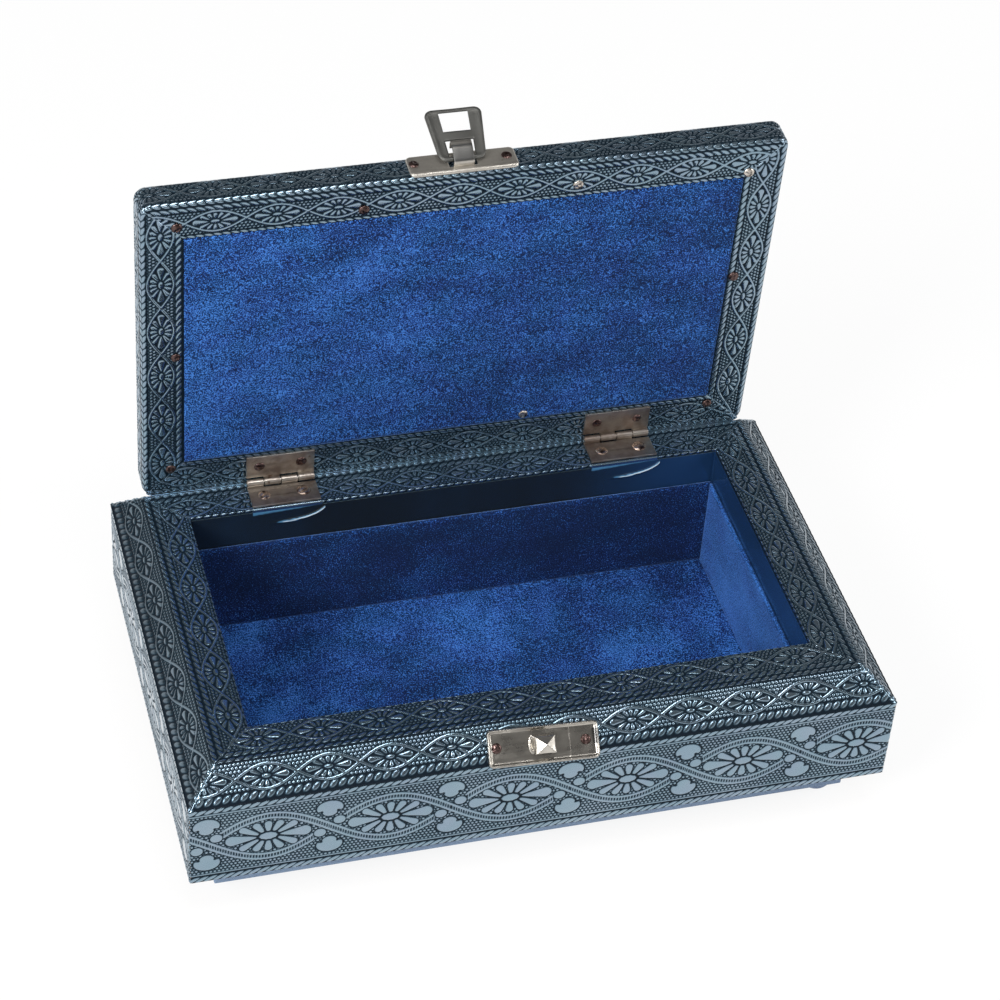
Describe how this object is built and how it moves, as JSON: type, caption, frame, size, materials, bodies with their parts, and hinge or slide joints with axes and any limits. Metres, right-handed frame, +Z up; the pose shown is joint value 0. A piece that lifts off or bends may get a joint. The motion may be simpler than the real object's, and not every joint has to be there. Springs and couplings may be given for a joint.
{
  "type": "lidded jewelry box",
  "caption": "Rectangular lidded box for jewelry and keepsakes, wood clad in embossed blue sheet metal, velvet-lined, with a hinged lid and a hasp that drops over a stud.",
  "frame": {"origin": "centre of the base, on the plane that the feet stand on", "axes": "+Z up, -Y toward the front with the catch, +X along the box's length, to the right as seen from the front"},
  "size_m": [0.203, 0.1311, 0.1727],
  "materials": {
    "embossed_sheet": "blue lacquer over embossing, darkened in the recesses",
    "velvet": "short-pile velvet over card",
    "wood": "bare, hidden under the sheet metal",
    "bottom_board": "painted light blue-grey",
    "foot": "painted blue-grey",
    "hinge": "nickel-plated, aged to brown at the knuckles",
    "catch_metal": "nickel-plated, tarnished",
    "nail": "copper-washed, worn to bare steel in places"
  },
  "bodies": {
    "base": {"front_panel": "wood", "front_moulding": "wood", "front_wall_sheet": "embossed_sheet", "front_bevel_sheet": "embossed_sheet", "front_rim_sheet": "embossed_sheet", "front_lining": "velvet", "right_panel": "wood", "right_moulding": "wood", "right_wall_sheet": "embossed_sheet", "right_bevel_sheet": "embossed_sheet", "right_rim_sheet": "embossed_sheet", "right_lining": "velvet", "back_panel": "wood", "back_moulding": "wood", "back_wall_sheet": "embossed_sheet", "back_bevel_sheet": "embossed_sheet", "back_rim_sheet": "embossed_sheet", "back_lining": "velvet", "left_panel": "wood", "left_moulding": "wood", "left_wall_sheet": "embossed_sheet", "left_bevel_sheet": "embossed_sheet", "left_rim_sheet": "embossed_sheet", "left_lining": "velvet", "bottom_board": "bottom_board", "feet": "foot", "floor_lining": "velvet", "catch_plate": "catch_metal", "catch_stud": "catch_metal", "catch_nails": "nail", "left_base_leaf": "hinge", "right_base_leaf": "hinge", "left_hinge_pin": "hinge", "right_hinge_pin": "hinge", "base_leaf_nails": "nail"},
    "lid": {"lid_board": "wood", "lid_front_border": "embossed_sheet", "lid_front_edge": "embossed_sheet", "lid_right_border": "embossed_sheet", "lid_right_edge": "embossed_sheet", "lid_back_border": "embossed_sheet", "lid_back_edge": "embossed_sheet", "lid_left_border": "embossed_sheet", "lid_left_edge": "embossed_sheet", "lid_top_sheet": "embossed_sheet", "lid_lining": "velvet", "lid_nails": "nail", "left_lid_leaf": "hinge", "right_lid_leaf": "hinge", "lid_leaf_nails": "nail", "latch_plate": "catch_metal", "latch_nails": "nail"},
    "hasp": {"hasp": "catch_metal"}
  },
  "joints": [
    {"name": "lid_hinge", "type": "hinge", "parent": "base", "child": "lid", "pos_m": [0, 0.0532, 0.05495], "axis": [1, 0, 0], "range_deg": [0, 86.3]},
    {"name": "hasp_hinge", "type": "hinge", "parent": "lid", "child": "hasp", "pos_m": [-0.002, 0.05192, 0.1654], "axis": [1, 0, 0], "range_deg": [-27, 131]}
  ]
}
